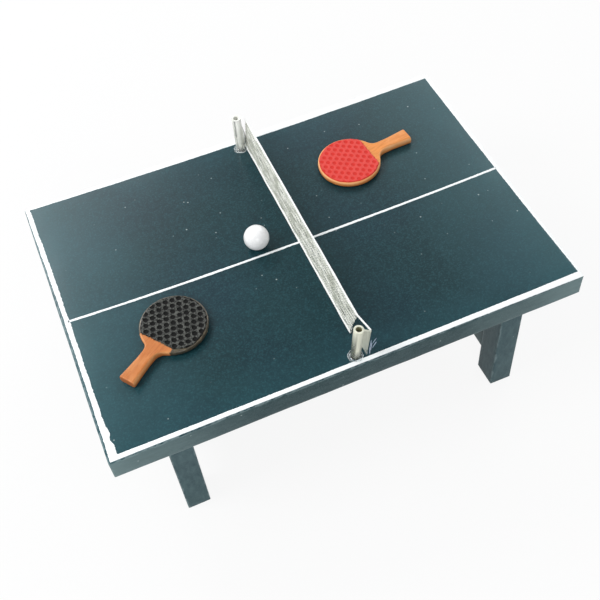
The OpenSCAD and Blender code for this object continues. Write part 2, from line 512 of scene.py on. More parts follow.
@dataclass(frozen=True)
class BatWood(Finish):
    """Orange-brown moulded wood with fine grain along the handle, bare or painted past the neck, with a
    painted highlight along its upper rim and painted shade on its lower sides.
    """

    name: str
    turn: float
    colour: Colour = (0.72, 0.27, 0.070, 1)
    grain: Colour = (0.53, 0.17, 0.036, 1)
    pale_and_highlight: Colour = (0.90, 0.52, 0.25, 1)
    blade_paint: Colour | None = None
    paint_scuff: Colour = (0.20, 0.15, 0.085, 1)
    paint_shade: Colour = (0.016, 0.014, 0.011, 1)
    wood_shine: float = 0.08
    paint_shine: float = 0.7
    fibre_size: float = 0.5 * MM
    fibre_depth: float = 0.03 * MM
    cloud_size: float = 4 * MM
    pore_size: float = 0.35 * MM
    paint_depth: float = 0.05 * MM
    paint_edge: tuple[float, float] = (0.52 * MM, 0.78 * MM)
    ragged_size: float = 0.9 * MM
    ragged_reach: float = 1.3 * MM
    blot_size: float = 1.3 * MM

    def dress(self, g: Graph) -> Material:
        """Builds the wood, and the paint on the blade where there is any.

        Args:
            g: The material's nodes.

        Returns:
            The material.
        """
        fibres = g.noise(self.fibre_size, 4, g.stretch((0.09, 1.0, 1.0), self.turn), 0.25)
        clouds = g.noise(self.cloud_size, 3, g.stretch((0.5, 1.0, 1.0), self.turn))
        pores = g.noise(self.pore_size, 1, g.stretch((0.25, 1.0, 1.0), self.turn))
        # Painted highlight: the upper rim is made paler where the mesh's edge number says so
        edge = g.times(g.attribute("edge"), g.ramp(clouds, 0.3, 0.6, 0.35, 0.8))
        # Painted shade on the lower sides, together with the darker end grain of the handle
        end_grain_and_shade = g.ramp(g.attribute("end_grain_and_shade"), 0.1, 0.9, 0.0, 0.75)
        colour = g.blend(g.ramp(fibres, 0.42, 0.74, 0.0, 0.7), self.colour, self.grain)
        colour = g.blend(g.ramp(clouds, 0.5, 0.8, 0.0, 0.4), colour, self.pale_and_highlight)
        colour = g.blend(g.ramp(pores, 0.66, 0.74, 0.0, 0.5), colour, self.grain)
        colour = g.blend(edge, colour, self.pale_and_highlight)
        colour = g.blend(end_grain_and_shade, colour, self.grain)
        normal = g.bump(fibres, self.fibre_depth)
        coat: float | Socket = self.wood_shine
        if self.blade_paint is not None:
            ragged = g.noise(self.ragged_size, 3)
            past = g.math("MULTIPLY_ADD", ragged, self.ragged_reach, g.attribute("painted"))
            paint = g.ramp(past, *self.paint_edge)
            blots = g.noise(self.blot_size, 3)
            shade = g.blend(g.ramp(blots, 0.4, 0.75, 0.0, 0.55), self.blade_paint, self.paint_scuff)
            # Painted shade: the blade's paint also turns darker on the lower sides
            shade = g.blend(end_grain_and_shade, shade, self.paint_shade)
            colour = g.blend(paint, colour, shade)
            normal = g.bump(blots, self.paint_depth, g.bump(paint, self.paint_depth, normal))
            coat = g.ramp(paint, 0, 1, self.wood_shine, self.paint_shine)
        return g.finish(Base_Color=colour, Roughness=g.ramp(fibres, 0.25, 0.8, 0.36, 0.5), Normal=normal,
                        Specular_IOR_Level=0.3, Coat_Weight=coat, Coat_Roughness=0.2)


@dataclass(frozen=True)
class DimpledRubber(Finish):
    """Moulded rubber, with painted highlight on its webs and painted shade down in the dimples."""

    name: str
    colour: Colour
    web_highlight: Colour
    pit_shade: Colour
    roughness: float = 0.4
    gloss: float = 0.4
    pit_gloss: float = 0.05
    grit: float = 0.012 * MM
    patchy: float = 0.5
    cloud_size: float = 3.2 * MM
    cloud_depth: float = 0.05 * MM
    patch_size: float = 0.45 * MM
    grain_size: float = 0.18 * MM

    def dress(self, g: Graph) -> Material:
        """Builds the rubber.

        Args:
            g: The material's nodes.

        Returns:
            The material.
        """
        clouds = g.noise(self.cloud_size, 3)
        grain = g.noise(self.grain_size, 3)
        patches = g.noise(self.patch_size, 2, distortion=0.5)
        depth = g.attribute("depth")
        # Painted highlight: the webs between the dimples are made paler, in patches
        paler = g.times(g.ramp(depth, 0.0, 0.25, 1.0, 0.0), g.ramp(clouds, 0.35, 0.7, 0.4, 1.0))
        paler = g.times(paler, g.ramp(patches, 0.45, 0.62, 1 - self.patchy, 1 + self.patchy))
        colour = g.blend(paler, self.colour, self.web_highlight)
        # Painted shade: the dimples turn darker towards their bottoms, and lose their gloss too
        colour = g.blend(g.ramp(depth, 0.2, 0.8), colour, self.pit_shade)
        colour = g.blend(g.ramp(grain, 0.35, 0.75, 0.0, 0.3), colour, self.colour)
        roughness = g.ramp(grain, 0.25, 0.75, self.roughness - 0.08, self.roughness + 0.14)
        normal = g.bump(clouds, self.cloud_depth, g.bump(grain, self.grit))
        return g.finish(Base_Color=colour, Roughness=roughness, Normal=normal,
                        Specular_IOR_Level=g.ramp(depth, 0.05, 0.5, self.gloss, self.pit_gloss))


@dataclass(frozen=True)
class BallPlastic(Finish):
    """White moulded plastic with faint scuffs."""

    name: str = "ball_plastic_white"
    colour: Colour = (0.90, 0.90, 0.90, 1)
    scuff: Colour = (0.78, 0.78, 0.78, 1)
    scuff_size: float = 1.1 * MM
    grain_size: float = 0.2 * MM
    grain_depth: float = 0.006 * MM
    glow_depth: float = 0.8 * MM

    def dress(self, g: Graph) -> Material:
        """Builds the plastic.

        Args:
            g: The material's nodes.

        Returns:
            The material.
        """
        scuffs = g.noise(self.scuff_size, 4, distortion=0.6)
        grain = g.noise(self.grain_size, 2)
        colour = g.blend(g.ramp(scuffs, 0.55, 0.75, 0.0, 0.5), self.colour, self.scuff)
        return g.finish(Base_Color=colour, Roughness=g.ramp(scuffs, 0.4, 0.75, 0.22, 0.42),
                        Normal=g.bump(grain, self.grain_depth), Coat_Weight=0.2, Coat_Roughness=0.12,
                        Subsurface_Weight=0.15, Subsurface_Radius=(1.0, 1.0, 1.0),
                        Subsurface_Scale=self.glow_depth)


# Making pieces


def finished(work: Mesh, name: str, materials: Sequence[Material], slot: Slot, *replaces: str,
             body: Body = Body.TABLE, smooth: float = 40.0) -> Piece:
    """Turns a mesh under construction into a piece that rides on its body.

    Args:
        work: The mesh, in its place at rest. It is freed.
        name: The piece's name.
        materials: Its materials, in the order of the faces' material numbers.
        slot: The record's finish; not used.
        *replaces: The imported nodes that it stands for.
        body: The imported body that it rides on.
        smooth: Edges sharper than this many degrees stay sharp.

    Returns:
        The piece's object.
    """
    mesh = bpy.data.meshes.new(name)
    work.to_mesh(mesh)
    work.free()
    for material in materials:
        mesh.materials.append(material)
    mesh.shade_smooth()
    mesh.set_sharp_from_angle(angle=math.radians(smooth))
    piece = bpy.data.objects.new(name, mesh)
    bpy.context.scene.collection.objects.link(piece)
    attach(piece, body.value)
    if replaces:
        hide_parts(*replaces)
    log.info("%s: %d faces, on %s", name, len(mesh.polygons), body.value)
    return piece


def loft(rings: int, sides: int, place: Callable[[float, float], Vector], work: Mesh | None = None,
         capped: bool = True) -> Mesh:
    """Shapes a tube ring by ring, by rolling up a grid.

    Args:
        rings: Number of steps along the tube.
        sides: Number of points in a ring.
        place: Gives a point's place from its share of the length and its angle.
        work: A mesh to add the tube to, or None for a new one.
        capped: Whether the two ends are closed.

    Returns:
        The mesh that holds the tube.
    """
    work = work or bmesh.new()
    made = bmesh.ops.create_grid(work, x_segments=rings, y_segments=sides, size=0.5)["verts"]
    for vertex in made:
        vertex.co = place(vertex.co.x + 0.5, 2 * math.pi * (vertex.co.y + 0.5))
    bmesh.ops.remove_doubles(work, verts=made, dist=WELD)
    if capped:
        open_ends = {e for v in made if v.is_valid for e in v.link_edges if e.is_boundary}
        bmesh.ops.holes_fill(work, edges=list(open_ends), sides=0)
    return work


def outward(work: Mesh, weld: float = WELD) -> Mesh:
    """Merges doubled points and turns every face outwards.

    Args:
        work: The mesh to mend.
        weld: Points closer than this are merged.

    Returns:
        The same mesh.
    """
    bmesh.ops.remove_doubles(work, verts=work.verts, dist=weld)
    bmesh.ops.recalc_face_normals(work, faces=work.faces)
    return work


def sliced(work: Mesh, at: Vector, away: Vector, **how: Any) -> None:
    """Cuts a mesh along the plane through a point."""
    everything = [*work.verts, *work.edges, *work.faces]
    bmesh.ops.bisect_plane(work, geom=everything, plane_co=at, plane_no=away, **how)


def eased(work: Mesh, edges: Sequence[bmesh.types.BMEdge], width: float, segments: int = 3,
          clamp_overlap: bool = False) -> None:
    """Rounds a mesh's edges to that width."""
    bmesh.ops.bevel(work, geom=edges, offset=width, offset_type="OFFSET", segments=segments, profile=0.5,
                    affect="EDGES", material=-1, clamp_overlap=clamp_overlap)


def smoothed(work: Mesh, levels: int) -> Mesh:
    """Subdivides a mesh smoothly, and keeps its outline.

    Args:
        work: The mesh to smooth. It is freed.
        levels: Levels of subdivision.

    Returns:
        A new mesh.
    """
    mesh = bpy.data.meshes.new("unsmoothed")
    work.to_mesh(mesh)
    work.free()
    holder = bpy.data.objects.new("unsmoothed", mesh)
    bpy.context.scene.collection.objects.link(holder)
    modifier = holder.modifiers.new("subdivision", "SUBSURF")
    modifier.levels = modifier.render_levels = levels
    modifier.boundary_smooth = "PRESERVE_CORNERS"
    result = bmesh.new()
    result.from_object(holder, bpy.context.evaluated_depsgraph_get())
    bpy.data.objects.remove(holder)
    bpy.data.meshes.remove(mesh)
    return result


@dataclass
class PaintedBlock:
    """A sawn block of painted wood with eased, slightly uneven and rubbed arrises."""

    node: str
    arris: float = 0.32 * MM
    band: float = 1.7 * MM
    spacing: float = 6 * MM
    unevenness: float = 0.1 * MM
    uneven_over: float = 9 * MM

    def build(self) -> Mesh:
        """Shapes the block.

        Returns:
            Its mesh, with a wear number that is 1 on its arrises.
        """
        low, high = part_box(self.node)
        size = high - low
        work = bmesh.new()
        place = Matrix.Translation((low + high) / 2) @ Matrix.Diagonal((*size, 1))
        bmesh.ops.create_cube(work, size=1, matrix=place)
        for axis in range(3):
            away = Vector([float(k == axis) for k in range(3)])
            count = max(1, round((size[axis] - 2 * self.band) / self.spacing))
            for step in range(count + 1):
                sliced(work, Vector(low) + away * mix(self.band, size[axis] - self.band, step / count), away)
        eased(work, [e for e in work.edges if e.calc_face_angle(0) > 1], self.arris)
        wear = work.verts.layers.float.new("wear")
        work.normal_update()
        for vertex in work.verts:
            gaps = [min(vertex.co[k] - low[k], high[k] - vertex.co[k]) for k in range(3)]
            vertex[wear] = float(sum(gap < 1.02 * self.arris for gap in gaps) > 1)
        moves = {v: v.normal * self.unevenness * clamp(0.4 + wander(sum(v.co), self.uneven_over, 1.7))
                 for v in work.verts if v[wear] > 0.5}
        for vertex, move in moves.items():
            vertex.co -= move
        return work


class SubAssembly(ABC):
    """A part of the table set that builds and dresses its own pieces."""

    @abstractmethod
    def make(self) -> list[Piece]:
        """Builds the pieces and returns them."""


@dataclass
class TableWoodwork(SubAssembly):
    """The board, its four legs and the two cross rails."""

    legs: tuple[str, ...] = ("front_left_leg", "back_left_leg", "front_right_leg", "back_right_leg")
    rails: tuple[str, ...] = ("left_cross_rail", "right_cross_rail")
    board_arris: float = 0.4 * MM
    # The top and side paints are painted paler towards the board's ends, as painted light
    top_paint: SlatePaint = SlatePaint(
        "table_paint_top", (0.002, 0.018, 0.023, 1), (0.003, 0.018, 0.028, 1), (0.024, 0.100, 0.118, 1),
        gloss=0.33, mottle=0.14, relief=0.01 * MM, paler_ends_painted_light=0.6, painted_light_from=0.5,
        painted_light_reach=(80 * MM, 78 * MM), dusty=0.45)
    side_paint: SlatePaint = SlatePaint(
        "table_paint_sides", (0.008, 0.036, 0.042, 1), (0.012, 0.038, 0.046, 1), (0.190, 0.280, 0.288, 1),
        roughness=0.45, gloss=0.12, mottle=0.2, paler_ends_painted_light=0.9, painted_light_from=0.42, painted_light_reach=(80 * MM, 1.0),
        stroke=(0.35, 0.35, 1.0), speck_share=0.3)
    leg_paint: SlatePaint = SlatePaint(
        "table_paint_legs", (0.020, 0.061, 0.072, 1), (0.027, 0.064, 0.078, 1), (0.135, 0.220, 0.232, 1),
        roughness=0.45, gloss=0.12, stroke=(1.0, 1.0, 0.4), speck_share=0.3)

    def make(self) -> list[Piece]:
        """Builds the woodwork.

        Returns:
            The board, the legs and the rails.
        """
        side, leg = self.side_paint.material(), self.leg_paint.material()
        board = self._board(side)
        legs = [self._block(node, leg) for node in self.legs]
        rails = [self._block(node, side) for node in self.rails]
        return [board, *legs, *rails]

    def _board(self, side: Material) -> Piece:
        """Builds the board, whose upper face has a darker, finer coat than its sides.

        Args:
            side: The material of its sides.

        Returns:
            The board.
        """
        work = PaintedBlock("table_top", arris=self.board_arris).build()
        for polygon in work.faces:
            polygon.material_index = 0 if polygon.normal.z > 0.7 else 1
        paints = [self.top_paint.material(), side]
        return finished(work, "painted_board", paints, Slot.TABLE_PAINT, "table_top")

    def _block(self, node: str, paint: Material) -> Piece:
        """Returns one leg or rail."""
        return finished(PaintedBlock(node).build(), "painted_" + node, [paint], Slot.TABLE_PAINT, node)


@dataclass(frozen=True)
class Stroke:
    """One side of the painted border: how far each of its edges lies from the board's edge.

    Each pair of distances holds at the two ends of the side, and the bow is added half way.
    """

    outer: tuple[float, float]
    inner: tuple[float, float]
    outer_bow: float = 0.0
    inner_bow: float = 0.0
    raggedness: float = 0.06 * MM
    least: float = 0.06 * MM

    def edge(self, is_outer: bool, share: float, along: float, seed: float) -> float:
        """Works out where one edge of the stroke lies.

        Args:
            is_outer: Whether the edge is the one nearer the board's edge.
            share: Share of the side's length, counted along the positive axis.
            along: Distance along the side.
            seed: Number that sets this edge apart.

        Returns:
            Its distance from the board's edge.
        """
        ends, bow = (self.outer, self.outer_bow) if is_outer else (self.inner, self.inner_bow)
        smooth = mix(*ends, share) + bow * (1 - (2 * share - 1) ** 2)
        rough = wander(along, 0.8 * MM, seed) + 0.8 * wander(along, 6 * MM, seed + 0.5)
        return max(self.least, smooth + self.raggedness * rough * (0.5 if is_outer else 1.0))


@dataclass
class PaintedLines(SubAssembly):
    """The white border and centre line, painted by hand with wandering edges."""

    height: float = 0.08 * MM
    edge_ease: float = 0.06 * MM
    stations: int = 260
    # Each side runs from its end towards the negative axis to the other one
    front: Stroke = Stroke((0.55 * MM, 0.12 * MM), (2.25 * MM, 2.5 * MM), 0.12 * MM, -0.35 * MM)
    right: Stroke = Stroke((0.15 * MM, 0.15 * MM), (0.75 * MM, 1.5 * MM), inner_bow=0.3 * MM)
    back: Stroke = Stroke((0.15 * MM, 0.15 * MM), (0.95 * MM, 2.1 * MM), inner_bow=1.25 * MM)
    left: Stroke = Stroke((0.75 * MM, 0.25 * MM), (2.6 * MM, 1.9 * MM), 0.5 * MM, 0.35 * MM, 0.16 * MM)
    corner_spread: float = 1.3 * MM
    centre_start: float = -0.6 * MM
    centre_end: float = 0.3 * MM
    centre_width: float = 0.85 * MM
    centre_low: float = -1.6 * MM
    centre_lowest_at: float = 8 * MM
    centre_left_rise: float = 1.95 * MM
    centre_right_rise: float = 0.95 * MM
    centre_raggedness: float = 0.055 * MM
    paint: LinePaint = LinePaint()

    def __post_init__(self) -> None:
        """Reads the board's edges."""
        self.low, self.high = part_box("table_top")
        self.sides = (self.front, self.right, self.back, self.left)

    def make(self) -> list[Piece]:
        """Builds the two painted pieces.

        Returns:
            The border and the centre line.
        """
        paint = self.paint.material()
        return [finished(self._border(), "painted_border", [paint], Slot.LINE_PAINT, "border_line"),
                finished(self._centre(), "painted_centre_line", [paint], Slot.LINE_PAINT, "centre_line")]

    def _edge(self, side: int, is_outer: bool, share: float) -> float:
        """Works out where an edge of the border lies.

        Args:
            side: The side's number, from the front one to the right, the back and the left one.
            is_outer: Whether the edge is the one nearer the board's edge.
            share: Share of the side's length, counted along the positive axis.

        Returns:
            Its distance from the board's edge.
        """
        length = (self.high.x - self.low.x) if side % 2 == 0 else (self.high.y - self.low.y)
        distance = self.sides[side].edge(is_outer, share, share * length, side + 0.3 * is_outer)
        if side == 3 and not is_outer:
            near_front = 1 - smooth_step(share, 0.0, 0.2)
            distance += self.corner_spread * near_front * (0.4 + 0.6 * wander(share * length, 4 * MM, 9))
        return distance

    def _point(self, side: int, is_outer: bool, share: float) -> Vector:
        """Works out a point on one of the border's edges.

        Args:
            side: The side's number.
            is_outer: Whether the edge is the one nearer the board's edge.
            share: Share of the side's length, counted along the positive axis.

        Returns:
            The point.
        """
        first_side, last_side = (3, 1) if side % 2 == 0 else (0, 2)
        where = float(side in (1, 2))
        first, last = self._edge(first_side, is_outer, where), self._edge(last_side, is_outer, where)
        away = self._edge(side, is_outer, share)
        if side % 2 == 0:
            x = mix(self.low.x + first, self.high.x - last, share)
            return Vector((x, self.low.y + away if side == 0 else self.high.y - away, self.high.z))
        y = mix(self.low.y + first, self.high.y - last, share)
        return Vector((self.high.x - away if side == 1 else self.low.x + away, y, self.high.z))

    def _border(self) -> Mesh:
        """Lays the border round the board.

        Returns:
            Its mesh.
        """
        work = bmesh.new()
        count = 4 * self.stations
        rings = [bmesh.ops.create_circle(work, segments=count, radius=size)["verts"] for size in (1, 0.9)]
        bmesh.ops.bridge_loops(work, edges=work.edges[:])
        for is_outer, ring in zip((True, False), rings):
            for number, vertex in enumerate(ring):
                side, share = number // self.stations, (number % self.stations) / self.stations
                vertex.co = self._point(side, is_outer, 1 - share if side > 1 else share)
        return self._raised(work)

    def _centre(self) -> Mesh:
        """Lays the centre line, from inside one end line to inside the other.

        Returns:
            Its mesh.
        """
        work = bmesh.new()
        start = self.low.x + self._edge(3, False, 0.5) + self.centre_start
        end = self.high.x - self._edge(1, False, 0.5) + self.centre_end
        bmesh.ops.create_grid(work, x_segments=2 * self.stations, y_segments=2, size=1)
        for vertex in work.verts:
            x, across = mix(start, end, (vertex.co.x + 1) / 2), vertex.co.y
            left = x < self.centre_lowest_at
            span = self.centre_lowest_at - start if left else end - self.centre_lowest_at
            rise = self.centre_left_rise if left else self.centre_right_rise
            middle = self.centre_low + rise * (abs(x - self.centre_lowest_at) / span) ** 2.5
            width = self.centre_width * (1 + 0.1 * wander(x, 9 * MM, 2))
            rough = self.centre_raggedness * wander(x, 0.9 * MM, 3 + across)
            vertex.co = Vector((x, middle + across * (width / 2 + rough), self.high.z))
        return self._raised(work)

    def _raised(self, work: Mesh) -> Mesh:
        """Gives a flat shape of paint its thickness and a rounded upper edge.

        Args:
            work: The flat shape.

        Returns:
            The same mesh, with a rim number that is 1 below its upper face.
        """
        rim = work.verts.layers.float.new("rim")
        extruded = bmesh.ops.extrude_face_region(work, geom=work.faces[:])["geom"]
        top = [g for g in extruded if isinstance(g, bmesh.types.BMVert)]
        bmesh.ops.translate(work, verts=top, vec=(0, 0, self.height))
        outward(work)
        half_up = self.high.z + self.height / 2
        upper = [e for e in work.edges if e.calc_face_angle(0) > 1 and min(v.co.z for v in e.verts) > half_up]
        eased(work, upper, self.edge_ease, segments=2)
        for vertex in work.verts:
            vertex[rim] = float(vertex.co.z < self.high.z + 0.99 * self.height)
        return work


@dataclass
class NetPosts(SubAssembly):
    """The two clear posts, with dried glue round their feet and smeared beside the front one."""

    ease: float = 0.12 * MM
    foot_x: float = 0.8 * MM
    front_y: float = -51.2 * MM
    back_y: float = 49.3 * MM
    tube_radius: float = 1.65 * MM
    bore_radius: float = 1.05 * MM
    lean: float = math.tan(math.radians(6))
    # Heights above the foot where a ring of points lets the milkiness and the painted highlight change
    slices: tuple[float, ...] = (0.7 * MM, 2.2 * MM, 4.5 * MM)
    highlight_turn: float = -0.31
    milky_end: float = 0.9
    milky_rim: tuple[float, float] = (0.7 * MM, 0.2 * MM)
    glue_radius: float = 2.65 * MM
    glue_height: float = 0.34 * MM
    glue_lift: float = 0.002 * MM
    strings: int = 9
    string_height: float = 0.07 * MM
    string_milk: float = 0.7
    # Painted light: the back post's plastic is a paler, milkier copy of the front post's
    front_plastic: ClearPlastic = ClearPlastic(
        "front_post_plastic", (0.96, 0.97, 0.80, 1), (0.55, 0.60, 0.56, 1), clearest=0.05, cloudiness=0.12)
    back_plastic: ClearPlastic = ClearPlastic(
        "back_post_plastic", (0.97, 0.98, 0.92, 1), (0.94, 0.95, 0.90, 1), milkiest=0.8, cloudiness=0.45)
    # Painted shade: a dark plastic for the inside of the front post's bore
    bore_painted_shade: ClearPlastic = ClearPlastic(
        "post_bore_painted_shade", (0.26, 0.25, 0.15, 1), (0.16, 0.16, 0.10, 1), roughness=0.2, clearest=0.5)
    glue: ClearPlastic = ClearPlastic(
        "dried_glue", (0.86, 0.95, 0.97, 1), (0.90, 0.95, 0.96, 1), roughness=0.1, milkiest=0.8,
        clearest=0.03, cloudiness=0.05, streak=1.1 * MM, shape=(1.0, 1.0, 1.0), lump_depth=0.03 * MM)
    glue_string: ClearPlastic = ClearPlastic(
        "dried_glue_strings", (0.44, 0.53, 0.68, 1), (0.50, 0.58, 0.70, 1), roughness=0.16, clearest=0.5,
        shape=(1.0, 1.0, 1.0))

    def __post_init__(self) -> None:
        """Reads the height of the board."""
        self.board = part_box("table_top")[1].z

    def make(self) -> list[Piece]:
        """Builds the posts and their glue.

        Returns:
            The posts, the rings of glue and the strings of glue.
        """
        glue, bore, back = self.glue.material(), self.bore_painted_shade.material(), self.back_plastic.material()
        front = [self.front_plastic.material(), bore]
        return [self._post("front_net_post", self.front_y, self.lean, front),
                self._post("back_net_post", self.back_y, 0.0, [back, back]),
                self._ring("front_post_glue", self.front_y, glue, 0.3),
                self._ring("back_post_glue", self.back_y, glue, 4.1),
                self._smears(self.glue_string.material())]

    def _post(self, node: str, y: float, lean: float, plastics: list[Material]) -> Piece:
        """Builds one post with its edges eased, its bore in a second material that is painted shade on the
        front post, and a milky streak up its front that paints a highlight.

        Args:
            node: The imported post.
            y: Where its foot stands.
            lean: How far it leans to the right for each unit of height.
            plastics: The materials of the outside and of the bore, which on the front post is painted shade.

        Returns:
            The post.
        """
        work = bmesh.new()
        work.from_mesh(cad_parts[node].data)
        outward(work)
        bmesh.ops.dissolve_limit(work, angle_limit=math.radians(1), verts=work.verts, edges=work.edges)
        foot, top = (corner.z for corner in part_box(node))
        sharp = [e for e in work.edges if e.calc_face_angle(0) > math.radians(35) and e.is_convex
                 and max(v.co.z for v in e.verts) > foot + 0.3 * MM]
        eased(work, sharp, self.ease, clamp_overlap=True)
        for rise in self.slices:
            sliced(work, Vector((0, 0, foot + rise)), Vector((0, 0, 1)))
        work.normal_update()
        milk_and_highlight = work.verts.layers.float.new("milk_and_highlight")
        low, high = (top - down for down in self.milky_rim)
        for vertex in work.verts:
            end = self.milky_end * smooth_step(vertex.co.z, low, high)
            # Painted highlight: a milky streak up the post's front; the top end is milky too
            streak = self._highlight_streak(self._from_axis(vertex.co, y, lean, foot), vertex.co.z - foot)
            vertex[milk_and_highlight] = max(streak, end)
        # Painted shade: faces inside the bore take the bore's material
        for polygon in work.faces:
            away = self._from_axis(polygon.calc_center_median(), y, lean, foot)
            inwards = polygon.normal.dot(away) < 0 and away.length < self.bore_radius
            polygon.material_index = int(inwards and abs(polygon.normal.z) < 0.5)
        return finished(work, "clear_" + node, plastics, Slot.CLEAR_PLASTIC, node, smooth=50)

    def _from_axis(self, spot: Vector, y: float, lean: float, foot: float) -> Vector:
        """Returns how far a spot lies from the middle of a post, at the same height."""
        return spot - Vector((self.foot_x + lean * (spot.z - foot), y, spot.z))

    def _highlight_streak(self, away: Vector, rise: float) -> float:
        """Works out how milky a post is at one place of its wall, as a painted highlight up its front.

        Args:
            away: Distance from the post's middle.
            rise: Height above its foot.

        Returns:
            The painted highlight's milkiness, from 0 to 1.
        """
        rightwards = Vector((math.cos(self.highlight_turn), math.sin(self.highlight_turn), 0))
        forwards = Vector((rightwards.y, -rightwards.x, 0))
        across = away.dot(rightwards) / self.tube_radius
        streak = smooth_step(across, -0.5, -0.15) * (1 - 0.55 * smooth_step(across, 0.25, 0.6))
        streak *= smooth_step(rise, 0.3 * MM, 4.5 * MM)
        return streak * (0.15 + 0.85 * smooth_step(away.dot(forwards) / self.tube_radius, -0.1, 0.3))

    def _ring(self, node: str, y: float, glue: Material, seed: float) -> Piece:
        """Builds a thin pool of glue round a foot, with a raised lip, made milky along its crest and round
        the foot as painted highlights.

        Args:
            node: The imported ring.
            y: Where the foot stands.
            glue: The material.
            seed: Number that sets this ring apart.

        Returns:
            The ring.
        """
        inner = self.tube_radius + 0.03 * MM

        def reach(turn: float) -> float:
            """Returns how wide the ring is in one direction."""
            wobble = wander(math.cos(turn) + 2 * math.sin(turn), 0.6, seed)
            return (self.glue_radius - inner) * (0.82 + 0.2 * wobble)

        def place(share: float, angle: float) -> Vector:
            """Works out a point of the ring.

            Args:
                share: Share of the way round the foot.
                angle: Angle round the glue's own section.

            Returns:
                The point.
            """
            turn = 2 * math.pi * share
            out, up = 0.5 + 0.5 * math.cos(angle), clamp(1.6 * math.sin(angle))
            profile = 0.35 + 0.65 * math.exp(-((out - 0.84) / 0.1) ** 2) + 0.6 * math.exp(-(out / 0.2) ** 2)
            radius = inner + reach(turn) * out
            z = self.board + (self.glue_height * up * profile + self.glue_lift)
            return Vector((self.foot_x + radius * math.cos(turn), y + radius * math.sin(turn), z))

        work = outward(loft(112, 28, place, capped=False), 2 * WELD)
        milk_and_highlight = work.verts.layers.float.new("milk_and_highlight")
        for vertex in work.verts:
            away = vertex.co - Vector((self.foot_x, y, vertex.co.z))
            out = (away.length - inner) / reach(math.atan2(away.y, away.x) % (2 * math.pi))
            # Painted highlight: milky along the lip's crest and in a faint ring at the foot
            lip_highlight = clamp(0.45 + 0.5 * wander(away.x + 2 * away.y, 0.9 * MM, seed))
            vertex[milk_and_highlight] = lip_highlight * math.exp(-((out - 0.86) / 0.13) ** 2) + 0.2 * math.exp(-(out / 0.15) ** 2)
        return finished(work, "lumpy_" + node, [glue], Slot.DRIED_GLUE, node)

    def _smears(self, glue: Material) -> Piece:
        """Builds the strings of glue that fan out over the board, right of the front post.

        Args:
            glue: The material.

        Returns:
            The strings, in one piece.
        """
        work = bmesh.new()
        milk_and_highlight = work.verts.layers.float.new("milk_and_highlight")
        for number in range(self.strings):
            share = number / (self.strings - 1)
            x = self.foot_x + mix(4.3, 7.6, share) * MM + 0.4 * MM * wander(number, 0.7, 11)
            y = self.front_y + mix(-0.3, 2.4, share) * MM + 0.9 * MM * wander(number, 0.9, 12)
            length = (1.25 + 0.6 * wander(number, 0.8, 13)) * MM
            width = (0.11 + 0.03 * wander(number, 0.5, 14)) * MM
            turn = math.radians(mix(70, 38, share)) + 0.22 * wander(number, 0.6, 15)
            size = Matrix.Diagonal((length, width, self.string_height, 1))
            spot = Matrix.Translation((x, y, self.board)) @ Matrix.Rotation(turn, 4, "Z") @ size
            bmesh.ops.create_icosphere(work, subdivisions=3, radius=1, matrix=spot)
        for vertex in work.verts:
            vertex[milk_and_highlight] = self.string_milk
            vertex.co.z = max(vertex.co.z, self.board)
        return finished(work, "glue_smears", [glue], Slot.DRIED_GLUE)


